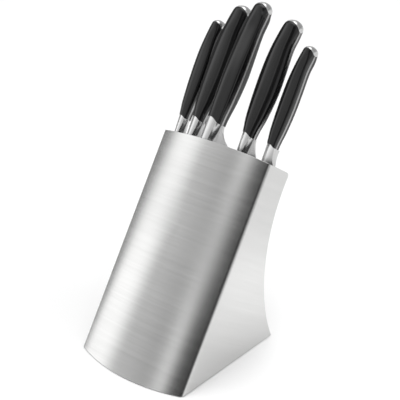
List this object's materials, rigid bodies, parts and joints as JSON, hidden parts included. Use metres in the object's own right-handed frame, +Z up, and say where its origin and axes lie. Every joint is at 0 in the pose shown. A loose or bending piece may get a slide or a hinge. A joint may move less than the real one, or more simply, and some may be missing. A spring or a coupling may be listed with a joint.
{
  "type": "knife block with knives",
  "caption": "Leaning steel knife block with a curved front and hollow back, holding kitchen knives with black handles that lift out of their slots.",
  "frame": {"origin": "middle of the footprint box, on the surface the block stands on", "axes": "+X to the right of the block, +Y towards its hollow back, +Z up"},
  "size_m": [0.1282, 0.2218, 0.3106],
  "materials": {
    "brushed_steel": "brushed across the block",
    "polished_steel": "polished",
    "black_handle": "satin",
    "black_plastic": "fine matt",
    "black_rubber": "matt",
    "plain_steel": "plain"
  },
  "bodies": {
    "block": {"outer_shell": "brushed_steel", "rear_panel": "brushed_steel", "base_plate": "black_plastic", "left_bracket": "plain_steel", "right_bracket": "plain_steel", "front_left_foot": "black_rubber", "front_right_foot": "black_rubber", "rear_left_foot": "black_rubber", "rear_right_foot": "black_rubber", "left_front_screw": "plain_steel", "left_rear_screw": "plain_steel", "right_front_screw": "plain_steel", "right_rear_screw": "plain_steel", "slot_plate": "black_plastic", "lower_guide": "black_plastic", "left_front_post": "black_plastic", "left_rear_post": "black_plastic", "right_front_post": "black_plastic", "right_rear_post": "black_plastic"},
    "paring_knife": {"paring_knife_blade": "polished_steel", "paring_knife_front_scale": "black_handle", "paring_knife_rear_scale": "black_handle", "paring_knife_end_cap": "polished_steel", "paring_knife_lower_pin": "plain_steel", "paring_knife_upper_pin": "plain_steel"},
    "carving_knife": {"carving_knife_blade": "polished_steel", "carving_knife_front_scale": "black_handle", "carving_knife_rear_scale": "black_handle", "carving_knife_end_cap": "polished_steel", "carving_knife_lower_pin": "plain_steel", "carving_knife_upper_pin": "plain_steel"},
    "chef_knife": {"chef_knife_blade": "polished_steel", "chef_knife_front_scale": "black_handle", "chef_knife_rear_scale": "black_handle", "chef_knife_end_cap": "polished_steel", "chef_knife_lower_pin": "plain_steel", "chef_knife_upper_pin": "plain_steel"},
    "bread_knife": {"bread_knife_blade": "polished_steel", "bread_knife_front_scale": "black_handle", "bread_knife_rear_scale": "black_handle", "bread_knife_end_cap": "polished_steel", "bread_knife_lower_pin": "plain_steel", "bread_knife_upper_pin": "plain_steel"},
    "utility_knife": {"utility_knife_blade": "polished_steel", "utility_knife_front_scale": "black_handle", "utility_knife_rear_scale": "black_handle", "utility_knife_end_cap": "polished_steel", "utility_knife_lower_pin": "plain_steel", "utility_knife_upper_pin": "plain_steel"}
  },
  "joints": [
    {"name": "paring_knife_slide", "type": "slide", "parent": "block", "child": "paring_knife", "axis": [-0.0332, 0.5473, 0.8363], "range_m": [0, 0.105]},
    {"name": "carving_knife_slide", "type": "slide", "parent": "block", "child": "carving_knife", "axis": [0, 0.5476, 0.8368], "range_m": [0, 0.215]},
    {"name": "chef_knife_slide", "type": "slide", "parent": "block", "child": "chef_knife", "axis": [0, 0.5476, 0.8368], "range_m": [0, 0.215]},
    {"name": "bread_knife_slide", "type": "slide", "parent": "block", "child": "bread_knife", "axis": [0, 0.5476, 0.8368], "range_m": [0, 0.215]},
    {"name": "utility_knife_slide", "type": "slide", "parent": "block", "child": "utility_knife", "axis": [0, 0.5476, 0.8368], "range_m": [0, 0.14]}
  ]
}
